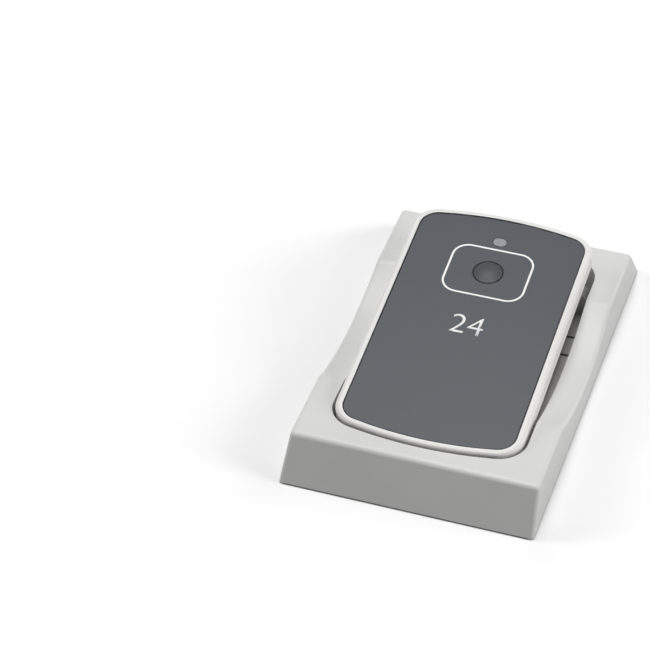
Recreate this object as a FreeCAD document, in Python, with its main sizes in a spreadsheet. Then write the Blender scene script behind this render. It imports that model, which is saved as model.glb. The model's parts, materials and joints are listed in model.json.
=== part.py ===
import FreeCAD, Part
import math
import os
import Sketcher
from types import SimpleNamespace

# The call unit of a table call system, lying face up in its sloping table stand.
#
# Stand frame: +X right, +Y to the rear, +Z up, origin on the table under the middle of the stand.
# Unit frame: +X right, +Y to the head of the face, +Z out of the face, origin in the middle of the rim.
# Every piece of the unit is drawn in the unit frame, and one tilt and one shift lay it in the stand.

doc = FreeCAD.newDocument("CallButton")
sheet = doc.addObject("Spreadsheet::Sheet", "Sizes")
Vector = FreeCAD.Vector
UP = Vector(0, 0, 1)


class Size:
    """A length or an angle, with the sheet expression that gives it."""

    def __init__(self, value, text=None):
        self.value = float(value)
        self.text = text or str(self.value)

    def __float__(self):
        return self.value

    def __add__(self, other):
        other = as_size(other)
        return Size(self.value + other.value, f"({self.text} + {other.text})")

    def __sub__(self, other):
        other = as_size(other)
        return Size(self.value - other.value, f"({self.text} - {other.text})")

    def __mul__(self, other):
        other = as_size(other)
        return Size(self.value * other.value, f"({self.text} * {other.text})")

    def __truediv__(self, other):
        other = as_size(other)
        return Size(self.value / other.value, f"({self.text} / {other.text})")

    def __neg__(self):
        return Size(-self.value, f"(0 - {self.text})")


def as_size(number):
    return number if isinstance(number, Size) else Size(number)


def cosine(angle):
    return Size(math.cos(math.radians(angle.value)), f"cos({angle.text} * 1 deg)")


def tangent(angle):
    return Size(math.tan(math.radians(angle.value)), f"tan({angle.text} * 1 deg)")


# ---------------------------------------------------------------- driving sizes, mm and degrees

SIZES = {
    # outline of the call unit
    "unit_width": 60.0,  # call unit, side to side
    "unit_length": 101.0,  # call unit, foot to head
    "end_radius": 120.0,  # bow of both ends
    "corner_radius": 8.6,  # corners of the outline
    "unit_thickness": 12.2,  # rim to back face
    "side_height": 5.6,  # straight side wall of the front case
    "rim_round": 1.2,  # rounding of the rim

    # front case, face sheet and tape
    "case_wall": 1.8,  # side wall of the front case
    "face_wall": 1.5,  # wall under the face sheet
    "sheet_side_margin": 2.45,  # face sheet in from the sides
    "sheet_end_margin": 2.2,  # face sheet in from the ends
    "sheet_end_radius": 118.0,  # bow of the sheet's ends
    "sheet_corner_radius": 6.1,  # corners of the sheet
    "sheet_sink": 0.25,  # face sheet below the rim
    "sheet_thickness": 0.8,  # face sheet
    "sheet_gap": 0.15,  # clearance round the face sheet
    "tape_thickness": 0.15,  # tape under the face sheet
    "tape_margin": 1.0,  # tape in from the edge of the sheet
    "tape_hole_margin": 0.8,  # tape back from the holes

    # call key
    "key_diameter": 9.5,  # call key
    "key_from_head": 26.1,  # call key from the head of the unit
    "key_gap": 0.15,  # clearance round the key
    "key_edge": 0.05,  # edge of the key above the face
    "key_crown": 0.5,  # crown of the key above its edge
    "key_edge_round": 0.3,  # rounding of the key's edge
    "key_flange_diameter": 13.0,  # flange that keeps the key in
    "key_flange_height": 0.7,  # thickness of that flange
    "key_play": 0.05,  # play above the flange and below the boss
    "key_boss_diameter": 4.0,  # boss that meets the switch
    "key_travel": 0.35,  # travel of the key

    # indicator window
    "lens_width": 4.4,  # indicator window, across
    "lens_height": 3.4,  # indicator window, along
    "lens_from_head": 12.1,  # indicator window from the head of the unit
    "lens_gap": 0.05,  # clearance round the window
    "lens_flange": 0.7,  # flange of the window, all round
    "lens_flange_height": 0.6,  # thickness of that flange
    "pipe_diameter": 3.0,  # light pipe behind the window
    "pipe_gap": 0.2,  # light pipe above the lamp

    # circuit board
    "board_thickness": 1.0,  # circuit board
    "board_margin": 4.0,  # board in from the outline of the unit
    "boss_clearance": 0.4,  # clearance of the board round the bosses
    "post_diameter": 4.2,  # posts that the board is screwed to
    "post_side_inset": 9.0,  # side posts in from the sides
    "post_side_height": 8.0,  # side posts above the middle
    "post_foot_inset": 10.5,  # foot post from the foot of the unit
    "board_pilot": 1.3,  # pilot hole of a board screw
    "board_screw_grip": 1.6,  # board screw in its post
    "board_head_diameter": 2.6,  # head of a board screw
    "board_head_height": 0.9,  # thickness of that head

    # tactile switch
    "switch_side": 6.0,  # switch, square
    "switch_base_height": 0.9,  # switch base
    "switch_cavity_diameter": 4.8,  # cavity of the switch
    "switch_cavity_floor": 0.15,  # floor below the cavity
    "dome_diameter": 4.4,  # snap disc
    "dome_height": 0.1,  # snap disc
    "switch_cover_height": 0.15,  # metal cover of the switch
    "plunger_diameter": 3.2,  # plunger of the switch
    "plunger_gap": 0.1,  # clearance round the plunger
    "plunger_flange_diameter": 4.2,  # foot of the plunger
    "plunger_flange_height": 0.2,  # thickness of that foot

    # parts on the board
    "led_width": 1.6,  # indicator lamp, across
    "led_depth": 0.8,  # indicator lamp, along
    "led_height": 0.7,  # indicator lamp
    "can_width": 15.0,  # screened transmitter, across
    "can_length": 12.0,  # screened transmitter, along
    "can_height": 2.4,  # screened transmitter
    "can_side_place": -9.5,  # screened transmitter from the middle
    "can_place": 26.0,  # screened transmitter above the middle
    "chip_width": 7.0,  # microcontroller, square
    "chip_height": 1.2,  # microcontroller
    "chip_side_place": 9.5,  # microcontroller from the middle
    "chip_place": 21.0,  # microcontroller above the middle
    "leg_length": 0.9,  # legs of the microcontroller
    "leg_width": 0.35,  # width of a leg
    "leg_height": 0.4,  # thickness of a leg
    "leg_pitch": 0.8,  # pitch of the legs
    "crystal_width": 11.0,  # crystal can, across
    "crystal_length": 4.6,  # crystal can, along
    "crystal_height": 3.4,  # crystal can
    "crystal_side_place": 8.5,  # crystal can from the middle
    "crystal_place": 33.0,  # crystal can above the middle
    "capacitor_width": 7.3,  # reservoir capacitor, across
    "capacitor_length": 4.3,  # reservoir capacitor, along
    "capacitor_height": 2.8,  # reservoir capacitor
    "capacitor_side_place": 9.5,  # reservoir capacitor from the middle
    "capacitor_place": 9.0,  # reservoir capacitor above the middle
    "antenna_width": 30.0,  # antenna loop, across
    "antenna_length": 3.4,  # antenna loop, along
    "antenna_strip": 0.8,  # strip of the antenna loop
    "antenna_height": 1.6,  # antenna loop above the board
    "antenna_from_head": 9.3,  # antenna loop from the head of the unit
    "small_part_width": 1.6,  # small chip parts, across
    "small_part_length": 0.8,  # small chip parts, along
    "small_part_height": 0.5,  # small chip parts
    "small_part_pitch": 2.6,  # pitch of the small chip parts
    "small_part_side_place": -15.0,  # first small chip part from the middle
    "small_part_place": 12.0,  # lower row of small chip parts

    # cell, its contacts and lid
    "cell_diameter": 20.0,  # coin cell
    "cell_height": 3.2,  # coin cell
    "cell_place": -20.0,  # coin cell from the middle of the face
    "cell_gap": 0.3,  # clearance round the coin cell
    "cell_cap_diameter": 17.6,  # cap of the coin cell
    "cell_cap_height": 0.3,  # cap of the coin cell
    "cell_lift": 0.05,  # coin cell above the lid
    "cup_wall": 1.2,  # wall of the cell cup
    "cup_rise": 2.0,  # cell cup above the lugs
    "contact_thickness": 0.3,  # contact strips
    "contact_width": 5.0,  # contact strips
    "contact_length": 9.0,  # negative contact, along
    "contact_play": 0.05,  # contacts off the coin cell
    "contact_dimple": 3.0,  # dimple of the negative contact
    "contact_foot": 3.2,  # soldered foot of the positive contact
    "contact_window": 0.6,  # clearance round the positive contact
    "lid_diameter": 26.0,  # battery lid
    "lid_flange": 0.9,  # flange of the lid
    "lid_gap": 0.2,  # clearance round the lid
    "lid_play": 0.05,  # play above and below the ledge
    "spigot_diameter": 22.0,  # spigot of the lid
    "lug_reach": 1.2,  # lugs out from the spigot
    "lug_width": 5.0,  # width of a lug
    "lug_height": 0.6,  # thickness of a lug
    "unlock_angle": 60.0,  # turn from shut to open
    "coin_slot_length": 14.0,  # coin slot
    "coin_slot_width": 1.8,  # coin slot
    "coin_slot_depth": 1.0,  # coin slot
    "seal_section": 0.6,  # section of the lid's O-ring
    "seal_gap": 0.03,  # clearance of the O-ring in its groove

    # rear case
    "back_wall": 1.6,  # back wall
    "seam_step": 0.25,  # rear case in from the side wall at the seam
    "rear_taper": 22.0,  # slant of the rear case, degrees
    "back_round": 2.0,  # rounding of the back edge
    "lip_height": 1.2,  # lip inside the front case
    "lip_thickness": 1.2,  # lip inside the front case
    "lip_gap": 0.1,  # clearance of the lip

    # case screws
    "screw_side_inset": 8.5,  # case screws in from the sides
    "screw_end_inset": 11.0,  # case screws in from the ends
    "boss_diameter": 5.6,  # screw bosses
    "boss_drop": 7.4,  # rim to where the bosses meet
    "pilot_diameter": 1.7,  # pilot hole of a case screw
    "thread_gap": 0.02,  # clearance of the screws in their pilots
    "screw_grip": 3.6,  # case screw in its boss
    "shank_clearance": 0.5,  # hole over the screw's shank
    "head_diameter": 3.6,  # head of a case screw
    "head_height": 1.3,  # thickness of that head
    "head_sink": 2.4,  # seat of the head below the back face
    "head_clearance": 0.4,  # counterbore over the head
    "cross_width": 0.6,  # cross recess of a screw
    "cross_length": 2.0,  # cross recess of a screw
    "cross_depth": 0.7,  # cross recess of a screw

    # stand
    "stand_base_width": 80.6,  # stand at its foot, side to side
    "stand_side_draft": 1.0,  # sides of the stand in at the top
    "stand_base_length": 133.3,  # stand at its foot, front to rear
    "stand_end_slope": 9.0,  # ends of the stand in at the top
    "stand_height": 13.7,  # table to the top of the stand
    "stand_end_round": 2.6,  # upper edges of the stand's ends
    "stand_edge_round": 1.2,  # upright corners and upper side edges of the stand
    "stand_wall": 2.0,  # outer walls and top of the stand
    "dip_half_length": 30.4,  # finger dip, half its length
    "dip_depth": 5.9,  # finger dip
    "recess_gap": 1.0,  # recess beside the call unit
    "recess_end_gap": 1.6,  # recess before and behind the call unit
    "tub_wall": 1.8,  # side walls of the tub
    "tub_floor": 1.9,  # floor of the tub
    "rib_inset": 15.0,  # front of the support rib from the head of the unit
    "rib_width": 5.0,  # support rib, front to rear
    "rib_core_wall": 1.4,  # walls of the hollow support rib
    "rib_end_drop": 4.5,  # ends of the support rib down at the wall
    "rib_end_length": 5.0,  # each sloping end of the support rib, across
    "ledge_inset": 4.0,  # front of the front ledge from the foot of the unit
    "ledge_width": 5.0,  # front ledge, front to rear
    "ledge_side_inset": 8.0,  # front ledge in from the sides of the unit
    "tongue_setback": 15.8,  # middle of the floor tongues in front of the rib
    "tongue_width": 8.2,  # width of a tongue
    "tongue_length": 10.0,  # length of a tongue
    "tongue_slot": 0.9,  # slot round a tongue
    "window_side_inset": 8.0,  # inner edge of the rear windows in from the sides of the unit
    "window_width": 7.4,  # rear windows of the floor, across
    "window_gap": 1.2,  # rear windows of the floor behind the rib
    "window_length": 4.6,  # rear windows of the floor, along

    # how the call unit lies in the stand
    "seat_tilt": 7.0,  # slope of the call unit, degrees
    "face_height": 20.4,  # table to the middle of the rim
    "face_setback": -1.2,  # middle of the rim from the middle of the stand
    "seat_gap": 0.05,  # call unit above its seat

    # feet
    "foot_diameter": 9.0,  # rubber feet
    "foot_height": 1.0,  # rubber feet
    "foot_proud": 0.4,  # feet below the skirt
    "foot_gap": 0.05,  # clearance round the feet
    "front_foot_side_inset": 6.0,  # front feet in from the sides of the unit
    "front_foot_inset": 9.5,  # front feet from the foot of the unit
    "rear_foot_side_inset": 15.0,  # rear feet in from the sides of the unit
    "rear_foot_inset": 6.0,  # rear feet from the head of the unit
}

for row, (alias, value) in enumerate(SIZES.items(), 1):
    sheet.set(f"A{row}", alias)
    sheet.set(f"B{row}", str(value))
    sheet.setAlias(f"B{row}", alias)
doc.recompute()

# every driving size by its name, such as dim.unit_width
dim = SimpleNamespace(**{alias: Size(value, f"Sizes.{alias}") for alias, value in SIZES.items()})

# ---------------------------------------------------------------- heights in the unit frame

sheet_top = -dim.sheet_sink
sheet_under = sheet_top - dim.sheet_thickness
seat_floor = sheet_under - dim.tape_thickness
face_under = seat_floor - dim.face_wall
seam = -dim.side_height
back_face = -dim.unit_thickness
back_inside = back_face + dim.back_wall
boss_end = -dim.boss_drop
lip_inset = dim.case_wall + dim.lip_gap
cavity_inset = lip_inset + dim.lip_thickness
flange_top = face_under - dim.key_play
flange_under = flange_top - dim.key_flange_height
plunger_top = flange_under - dim.key_play - dim.key_play
cover_top = plunger_top - dim.key_travel - dim.key_play
cover_under = cover_top - dim.switch_cover_height
board_top = cover_under - dim.switch_base_height
board_under = board_top - dim.board_thickness
lid_shelf = back_face + dim.lid_flange
lug_under = back_inside + dim.lid_play
lug_top = lug_under + dim.lug_height
cell_under = lug_top + dim.cell_lift
cell_top = cell_under + dim.cell_height
cup_top = lug_top + dim.cup_rise
head_seat = back_face + dim.head_sink

# ---------------------------------------------------------------- places across and along

side = dim.unit_width / 2
head = dim.unit_length / 2
foot = -head
key_place = head - dim.key_from_head
lens_place = head - dim.lens_from_head
antenna_place = head - dim.antenna_from_head
screw_side_place = side - dim.screw_side_inset
screw_end_place = head - dim.screw_end_inset
post_side_place = side - dim.post_side_inset
post_foot_place = foot + dim.post_foot_inset
rib_place = head - dim.rib_inset
ledge_place = foot + dim.ledge_inset
tongue_place = rib_place - dim.tongue_setback
window_place = rib_place + dim.rib_width + dim.window_gap
front_foot_place = foot + dim.front_foot_inset
rear_foot_place = head - dim.rear_foot_inset


# ---------------------------------------------------------------- sketching and solids


def bind(item, path, size):
    """Sets a property from a size, and ties it to the sheet where the size comes from there."""
    if isinstance(size, Size):
        item.setExpression(path, size.text)


def new_body(label):
    body = doc.addObject("PartDesign::Body", label)
    body.Label = label
    return body


def unit_body(label):
    """A body of the call unit, laid in the stand."""
    body = new_body(label)
    tilt = FreeCAD.Rotation(Vector(1, 0, 0), float(dim.seat_tilt))
    body.Placement = FreeCAD.Placement(Vector(0, float(dim.face_setback), float(dim.face_height)), tilt)
    bind(body, "Placement.Rotation.Angle", dim.seat_tilt)
    bind(body, "Placement.Base.y", dim.face_setback)
    bind(body, "Placement.Base.z", dim.face_height)
    return body


def new_sketch(body, name, level, centre=(0, 0), turn=0, plane="XY_Plane"):
    """A sketch on one of the body's own planes, lifted off it, shifted in it and turned."""
    sketch = body.newObject("Sketcher::SketchObject", name)
    support = [f for f in body.Origin.OriginFeatures if f.Role == plane][0]
    sketch.AttachmentSupport = [(support, "")]
    sketch.MapMode = "FlatFace"
    shift = Vector(float(centre[0]), float(centre[1]), float(level))
    sketch.AttachmentOffset = FreeCAD.Placement(shift, FreeCAD.Rotation(UP, float(turn)))
    bind(sketch, "AttachmentOffset.Base.x", centre[0])
    bind(sketch, "AttachmentOffset.Base.y", centre[1])
    bind(sketch, "AttachmentOffset.Base.z", level)
    bind(sketch, "AttachmentOffset.Rotation.Angle", turn)
    return sketch


def dimension(sketch, kind, parts, size):
    index = sketch.addConstraint(Sketcher.Constraint(kind, *parts, float(size)))
    bind(sketch, f"Constraints[{index}]", size)


def place_point(sketch, shape, point, x, y):
    """Dimensions a point from the sketch's origin, or puts it on an axis."""
    for kind, axis, size in (("DistanceX", -2, x), ("DistanceY", -1, y)):
        if isinstance(size, Size):
            dimension(sketch, kind, (-1, 1, shape, point), size)
        else:
            sketch.addConstraint(Sketcher.Constraint("PointOnObject", shape, point, axis))


def line(sketch, start, end):
    ends = [Vector(float(x), float(y), 0) for x, y in (start, end)]
    return sketch.addGeometry(Part.LineSegment(*ends))


def join(sketch, shapes):
    """Joins the end of each shape to the start of the next, round the outline."""
    for one, following in zip(shapes, shapes[1:] + shapes[:1]):
        sketch.addConstraint(Sketcher.Constraint("Coincident", one, 2, following, 1))


def polygon(sketch, points):
    edges = [line(sketch, a, b) for a, b in zip(points, points[1:] + points[:1])]
    join(sketch, edges)
    for edge, (x, y) in zip(edges, points):
        place_point(sketch, edge, 1, x, y)


def rectangle(sketch, left, front, right, rear):
    corners = [(left, front), (right, front), (right, rear), (left, rear)]
    edges = [line(sketch, a, b) for a, b in zip(corners, corners[1:] + corners[:1])]
    join(sketch, edges)
    for edge, kind in zip(edges, ("Horizontal", "Vertical", "Horizontal", "Vertical")):
        sketch.addConstraint(Sketcher.Constraint(kind, edge))
    dimension(sketch, "DistanceX", (-1, 1, edges[0], 1), left)
    dimension(sketch, "DistanceY", (-1, 1, edges[0], 1), front)
    dimension(sketch, "DistanceX", (-1, 1, edges[2], 1), right)
    dimension(sketch, "DistanceY", (-1, 1, edges[2], 1), rear)


def middle_rectangle(sketch, width, length):
    rectangle(sketch, -width / 2, -length / 2, width / 2, length / 2)


def circle(sketch, x, y, diameter):
    ring = sketch.addGeometry(Part.Circle(Vector(float(x), float(y), 0), UP, float(diameter) / 2))
    place_point(sketch, ring, 3, x, y)
    dimension(sketch, "Diameter", (ring,), diameter)


def arc(sketch, centre, radius, start, end):
    """An arc, counter-clockwise, between two angles in degrees."""
    whole = Part.Circle(Vector(float(centre[0]), float(centre[1]), 0), UP, float(radius))
    return sketch.addGeometry(Part.ArcOfCircle(whole, math.radians(start), math.radians(end)))


def tangent_chain(sketch, shapes):
    for one, following in zip(shapes, shapes[1:] + shapes[:1]):
        sketch.addConstraint(Sketcher.Constraint("Tangent", one, 2, following, 1))


def slot(sketch, width, length):
    """A slot with round left and right ends, about the sketch's origin."""
    radius = length / 2
    reach = (width - length) / 2
    lower = line(sketch, (-reach, -radius), (reach, -radius))
    right = arc(sketch, (reach, 0), radius, -90, 90)
    upper = line(sketch, (reach, radius), (-reach, radius))
    left = arc(sketch, (-reach, 0), radius, 90, 270)
    tangent_chain(sketch, [lower, right, upper, left])
    place_point(sketch, right, 3, reach, 0)
    place_point(sketch, left, 3, -reach, 0)
    dimension(sketch, "Radius", (right,), radius)


def bar_in_circle(sketch, diameter, width):
    """A straight bar about the sketch's origin, whose ends follow a circle."""
    radius, half = float(diameter) / 2, float(width) / 2
    lean = math.degrees(math.asin(half / radius))
    reach = math.sqrt(radius**2 - half**2)
    right = arc(sketch, (0, 0), radius, -lean, lean)
    upper = line(sketch, (reach, half), (-reach, half))
    left = arc(sketch, (0, 0), radius, 180 - lean, 180 + lean)
    lower = line(sketch, (-reach, -half), (reach, -half))
    join(sketch, [right, upper, left, lower])
    for end in (right, left):
        place_point(sketch, end, 3, 0, 0)
        dimension(sketch, "Radius", (end,), diameter / 2)
    for edge, height in ((upper, width / 2), (lower, -width / 2)):
        sketch.addConstraint(Sketcher.Constraint("Horizontal", edge))
        dimension(sketch, "DistanceY", (-1, 1, edge, 1), height)


def bowed_outline(sketch, half_width, half_length, bow, corner):
    """The unit's outline: straight sides, bowed ends and round corners, all tangent."""
    bow_centre = float(half_length) - float(bow)
    across = float(half_width) - float(corner)
    lean = math.degrees(math.asin(across / (float(bow) - float(corner))))
    along = bow_centre + (float(bow) - float(corner)) * math.cos(math.radians(lean))
    right = line(sketch, (half_width, -along), (half_width, along))
    head_right = arc(sketch, (across, along), corner, 0, 90 - lean)
    head_end = arc(sketch, (0, bow_centre), bow, 90 - lean, 90 + lean)
    head_left = arc(sketch, (-across, along), corner, 90 + lean, 180)
    left = line(sketch, (-half_width, along), (-half_width, -along))
    foot_left = arc(sketch, (-across, -along), corner, 180, 270 - lean)
    foot_end = arc(sketch, (0, -bow_centre), bow, 270 - lean, 270 + lean)
    foot_right = arc(sketch, (across, -along), corner, 270 + lean, 360)
    head_shapes = [head_right, head_end, head_left]
    foot_shapes = [foot_left, foot_end, foot_right]
    tangent_chain(sketch, [right, *head_shapes, left, *foot_shapes])
    for edge, reach in ((right, half_width), (left, -half_width)):
        sketch.addConstraint(Sketcher.Constraint("Vertical", edge))
        dimension(sketch, "DistanceX", (-1, 1, edge, 1), reach)
    place_point(sketch, head_end, 3, 0, half_length - bow)
    place_point(sketch, foot_end, 3, 0, bow - half_length)
    for shape in (head_end, foot_end):
        dimension(sketch, "Radius", (shape,), bow)
    for shape in (head_right, head_left, foot_left, foot_right):
        dimension(sketch, "Radius", (shape,), corner)


def unit_outline(sketch, inset):
    """The outline of the call unit, moved in by an inset, or out where the inset is negative."""
    half_width = dim.unit_width / 2 - inset
    half_length = dim.unit_length / 2 - inset
    bowed_outline(sketch, half_width, half_length, dim.end_radius - inset, dim.corner_radius - inset)


def sheet_outline(sketch, inset):
    """The outline of the face sheet, moved in by an inset."""
    half_width = dim.unit_width / 2 - dim.sheet_side_margin - inset
    half_length = dim.unit_length / 2 - dim.sheet_end_margin - inset
    bow = dim.sheet_end_radius - inset
    bowed_outline(sketch, half_width, half_length, bow, dim.sheet_corner_radius - inset)


def extrude(kind, body, name, sketch, length, downward, taper=None):
    feature = body.newObject(kind, name)
    feature.Profile = sketch
    feature.Length = float(length)
    bind(feature, "Length", length)
    feature.Reversed = downward
    if taper is not None:
        feature.TaperAngle = float(taper)
        bind(feature, "TaperAngle", taper)
    doc.recompute()
    return feature


def raise_shape(body, name, bottom, top, draw, centre=(0, 0), turn=0):
    """Adds what draw() draws, from one level up to another."""
    sketch = new_sketch(body, name + "Profile", bottom, centre, turn)
    draw(sketch)
    return extrude("PartDesign::Pad", body, name, sketch, top - bottom, False)


def cut_shape(body, name, top, bottom, draw, centre=(0, 0), turn=0):
    """Cuts what draw() draws, from one level down to another."""
    sketch = new_sketch(body, name + "Profile", top, centre, turn)
    draw(sketch)
    return extrude("PartDesign::Pocket", body, name, sketch, top - bottom, False)


def cut_span(body, name, top, bottom, across, along):
    """Cuts a rectangle between two distances across and two along, given in either order."""
    left, right = sorted(across, key=float)
    front, rear = sorted(along, key=float)
    return cut_shape(body, name, top, bottom, lambda s: rectangle(s, left, front, right, rear))


def raise_disc(body, name, bottom, top, centre, diameter):
    return raise_shape(body, name, bottom, top, lambda s: circle(s, 0, 0, diameter), centre)


def cut_disc(body, name, top, bottom, centre, diameter):
    return cut_shape(body, name, top, bottom, lambda s: circle(s, 0, 0, diameter), centre)


def raise_block(body, name, bottom, top, centre, width, length):
    return raise_shape(body, name, bottom, top, lambda s: middle_rectangle(s, width, length), centre)


def cut_block(body, name, top, bottom, centre, width, length):
    return cut_shape(body, name, top, bottom, lambda s: middle_rectangle(s, width, length), centre)


def both_ways(kind, body, name, plane, width, draw):
    """Adds or cuts a profile drawn in an upright plane, as far to one side of it as to the other."""
    sketch = new_sketch(body, name + "Profile", 0, plane=plane)
    draw(sketch)
    feature = body.newObject(kind, name)
    feature.Profile = sketch
    feature.SideType = "Symmetric"
    feature.Length = float(width)
    bind(feature, "Length", width)
    doc.recompute()
    return feature


def round_edges(body, name, radius, chosen):
    """Rounds the edges of the body's tip that chosen() picks."""
    base = body.Tip
    names = [f"Edge{i}" for i, edge in enumerate(base.Shape.Edges, 1) if chosen(edge)]
    feature = body.newObject("PartDesign::Fillet", name)
    feature.Base = (base, names)
    feature.Radius = float(radius)
    bind(feature, "Radius", radius)
    doc.recompute()
    return feature


def level_edge(edge, height):
    box = edge.BoundBox
    return abs(box.ZMin - float(height)) < 1e-4 and abs(box.ZMax - float(height)) < 1e-4


# ---------------------------------------------------------------- call unit: front case and face


def key_centre():
    return (0, key_place)


def lens_centre():
    return (0, lens_place)


def case_screw_places():
    return [
        (x, y)
        for x in (-screw_side_place, screw_side_place)
        for y in (-screw_end_place, screw_end_place)
    ]


def board_post_places():
    side_posts = [(x, dim.post_side_height) for x in (-post_side_place, post_side_place)]
    return side_posts + [(0, post_foot_place)]


def at_each(places, draw):
    """Draws one thing at each place, so that one feature makes them all."""
    return lambda sketch: [draw(sketch, x, y) for x, y in places]


def make_front_case():
    body = unit_body("front_case")
    raise_shape(body, "Block", seam, Size(0), lambda s: unit_outline(s, Size(0)))
    round_edges(body, "RimRound", dim.rim_round, lambda e: level_edge(e, 0))
    cut_shape(body, "SheetSeat", Size(0), seat_floor, lambda s: sheet_outline(s, -dim.sheet_gap))
    cut_shape(body, "Inside", face_under, seam, lambda s: unit_outline(s, dim.case_wall))
    bosses = at_each(case_screw_places(), lambda s, x, y: circle(s, x, y, dim.boss_diameter))
    raise_shape(body, "Bosses", boss_end, face_under, bosses)
    posts = at_each(board_post_places(), lambda s, x, y: circle(s, x, y, dim.post_diameter))
    raise_shape(body, "Posts", board_top, face_under, posts)
    pilots = at_each(case_screw_places(), lambda s, x, y: circle(s, x, y, dim.pilot_diameter))
    cut_shape(body, "Pilots", boss_end + dim.screw_grip, boss_end, pilots)
    small_pilots = at_each(board_post_places(), lambda s, x, y: circle(s, x, y, dim.board_pilot))
    cut_shape(body, "SmallPilots", board_top + dim.board_screw_grip, board_top, small_pilots)
    hole = dim.key_diameter + dim.key_gap * 2
    cut_disc(body, "KeyHole", seat_floor, face_under, key_centre(), hole)
    lens_hole = lambda s: slot(s, dim.lens_width + dim.lens_gap * 2, dim.lens_height + dim.lens_gap * 2)
    cut_shape(body, "LensHole", seat_floor, face_under, lens_hole, lens_centre())


def make_face_sheet():
    body = unit_body("face_sheet")
    raise_shape(body, "Plate", sheet_under, sheet_top, lambda s: sheet_outline(s, Size(0)))
    cut_disc(body, "KeyHole", sheet_top, sheet_under, key_centre(), dim.key_diameter + dim.key_gap * 2)
    hole = lambda s: slot(s, dim.lens_width + dim.lens_gap * 2, dim.lens_height + dim.lens_gap * 2)
    cut_shape(body, "LensHole", sheet_top, sheet_under, hole, lens_centre())


def make_face_tape():
    body = unit_body("face_tape")
    raise_shape(body, "Film", seat_floor, sheet_under, lambda s: sheet_outline(s, dim.tape_margin))
    key_hole = dim.key_diameter + (dim.key_gap + dim.tape_hole_margin) * 2
    cut_disc(body, "KeyHole", sheet_under, seat_floor, key_centre(), key_hole)
    margin = (dim.lens_gap + dim.tape_hole_margin) * 2
    hole = lambda s: slot(s, dim.lens_width + margin, dim.lens_height + margin)
    cut_shape(body, "LensHole", sheet_under, seat_floor, hole, lens_centre())


def make_call_key():
    """A domed cap, with a flange below that keeps it in and a boss that meets the switch."""
    body = unit_body("call_key")
    edge_top = sheet_top + dim.key_edge
    raise_disc(body, "Cap", flange_under, edge_top, key_centre(), dim.key_diameter)
    round_edges(body, "CapRound", dim.key_edge_round, lambda e: level_edge(e, edge_top))
    raise_disc(body, "Flange", flange_under, flange_top, key_centre(), dim.key_flange_diameter)
    boss_under = plunger_top + dim.key_play
    raise_disc(body, "Boss", boss_under, flange_under, key_centre(), dim.key_boss_diameter)

    half = dim.key_diameter / 2 - dim.key_edge_round
    crown_radius = (half * half + dim.key_crown * dim.key_crown) / (dim.key_crown * 2)
    low = edge_top - dim.key_edge_round
    crown_top = edge_top + dim.key_crown
    sketch = new_sketch(body, "CrownProfile", -key_place, plane="XZ_Plane")
    lean = math.degrees(math.asin(float(half) / float(crown_radius)))
    crown_centre = crown_top - crown_radius
    crown = arc(sketch, (0, crown_centre), crown_radius, 90 - lean, 90)
    down = line(sketch, (0, crown_top), (0, low))
    across = line(sketch, (0, low), (half, low))
    up = line(sketch, (half, low), (half, edge_top))
    join(sketch, [crown, down, across, up])
    place_point(sketch, crown, 3, 0, crown_centre)
    place_point(sketch, crown, 2, 0, crown_top)
    place_point(sketch, across, 1, 0, low)
    sketch.addConstraint(Sketcher.Constraint("Horizontal", across))
    sketch.addConstraint(Sketcher.Constraint("Vertical", up))
    dimension(sketch, "DistanceX", (-1, 1, up, 1), half)
    feature = body.newObject("PartDesign::Revolution", "Crown")
    feature.Profile = sketch
    feature.ReferenceAxis = (sketch, ["V_Axis"])
    feature.Angle = 360
    doc.recompute()


def make_indicator_lens():
    body = unit_body("indicator_lens")
    pipe_under = board_top + dim.led_height + dim.pipe_gap
    flange_level = face_under - dim.key_play
    window = lambda s: slot(s, dim.lens_width, dim.lens_height)
    raise_shape(body, "Window", flange_level, sheet_top, window, lens_centre())
    margin = dim.lens_flange * 2
    flange = lambda s: slot(s, dim.lens_width + margin, dim.lens_height + margin)
    raise_shape(body, "Flange", flange_level - dim.lens_flange_height, flange_level, flange, lens_centre())
    raise_disc(body, "Pipe", pipe_under, flange_level, lens_centre(), dim.pipe_diameter)


# ---------------------------------------------------------------- call unit: rear case and battery lid


def lid_centre():
    return (0, dim.cell_place)


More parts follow.
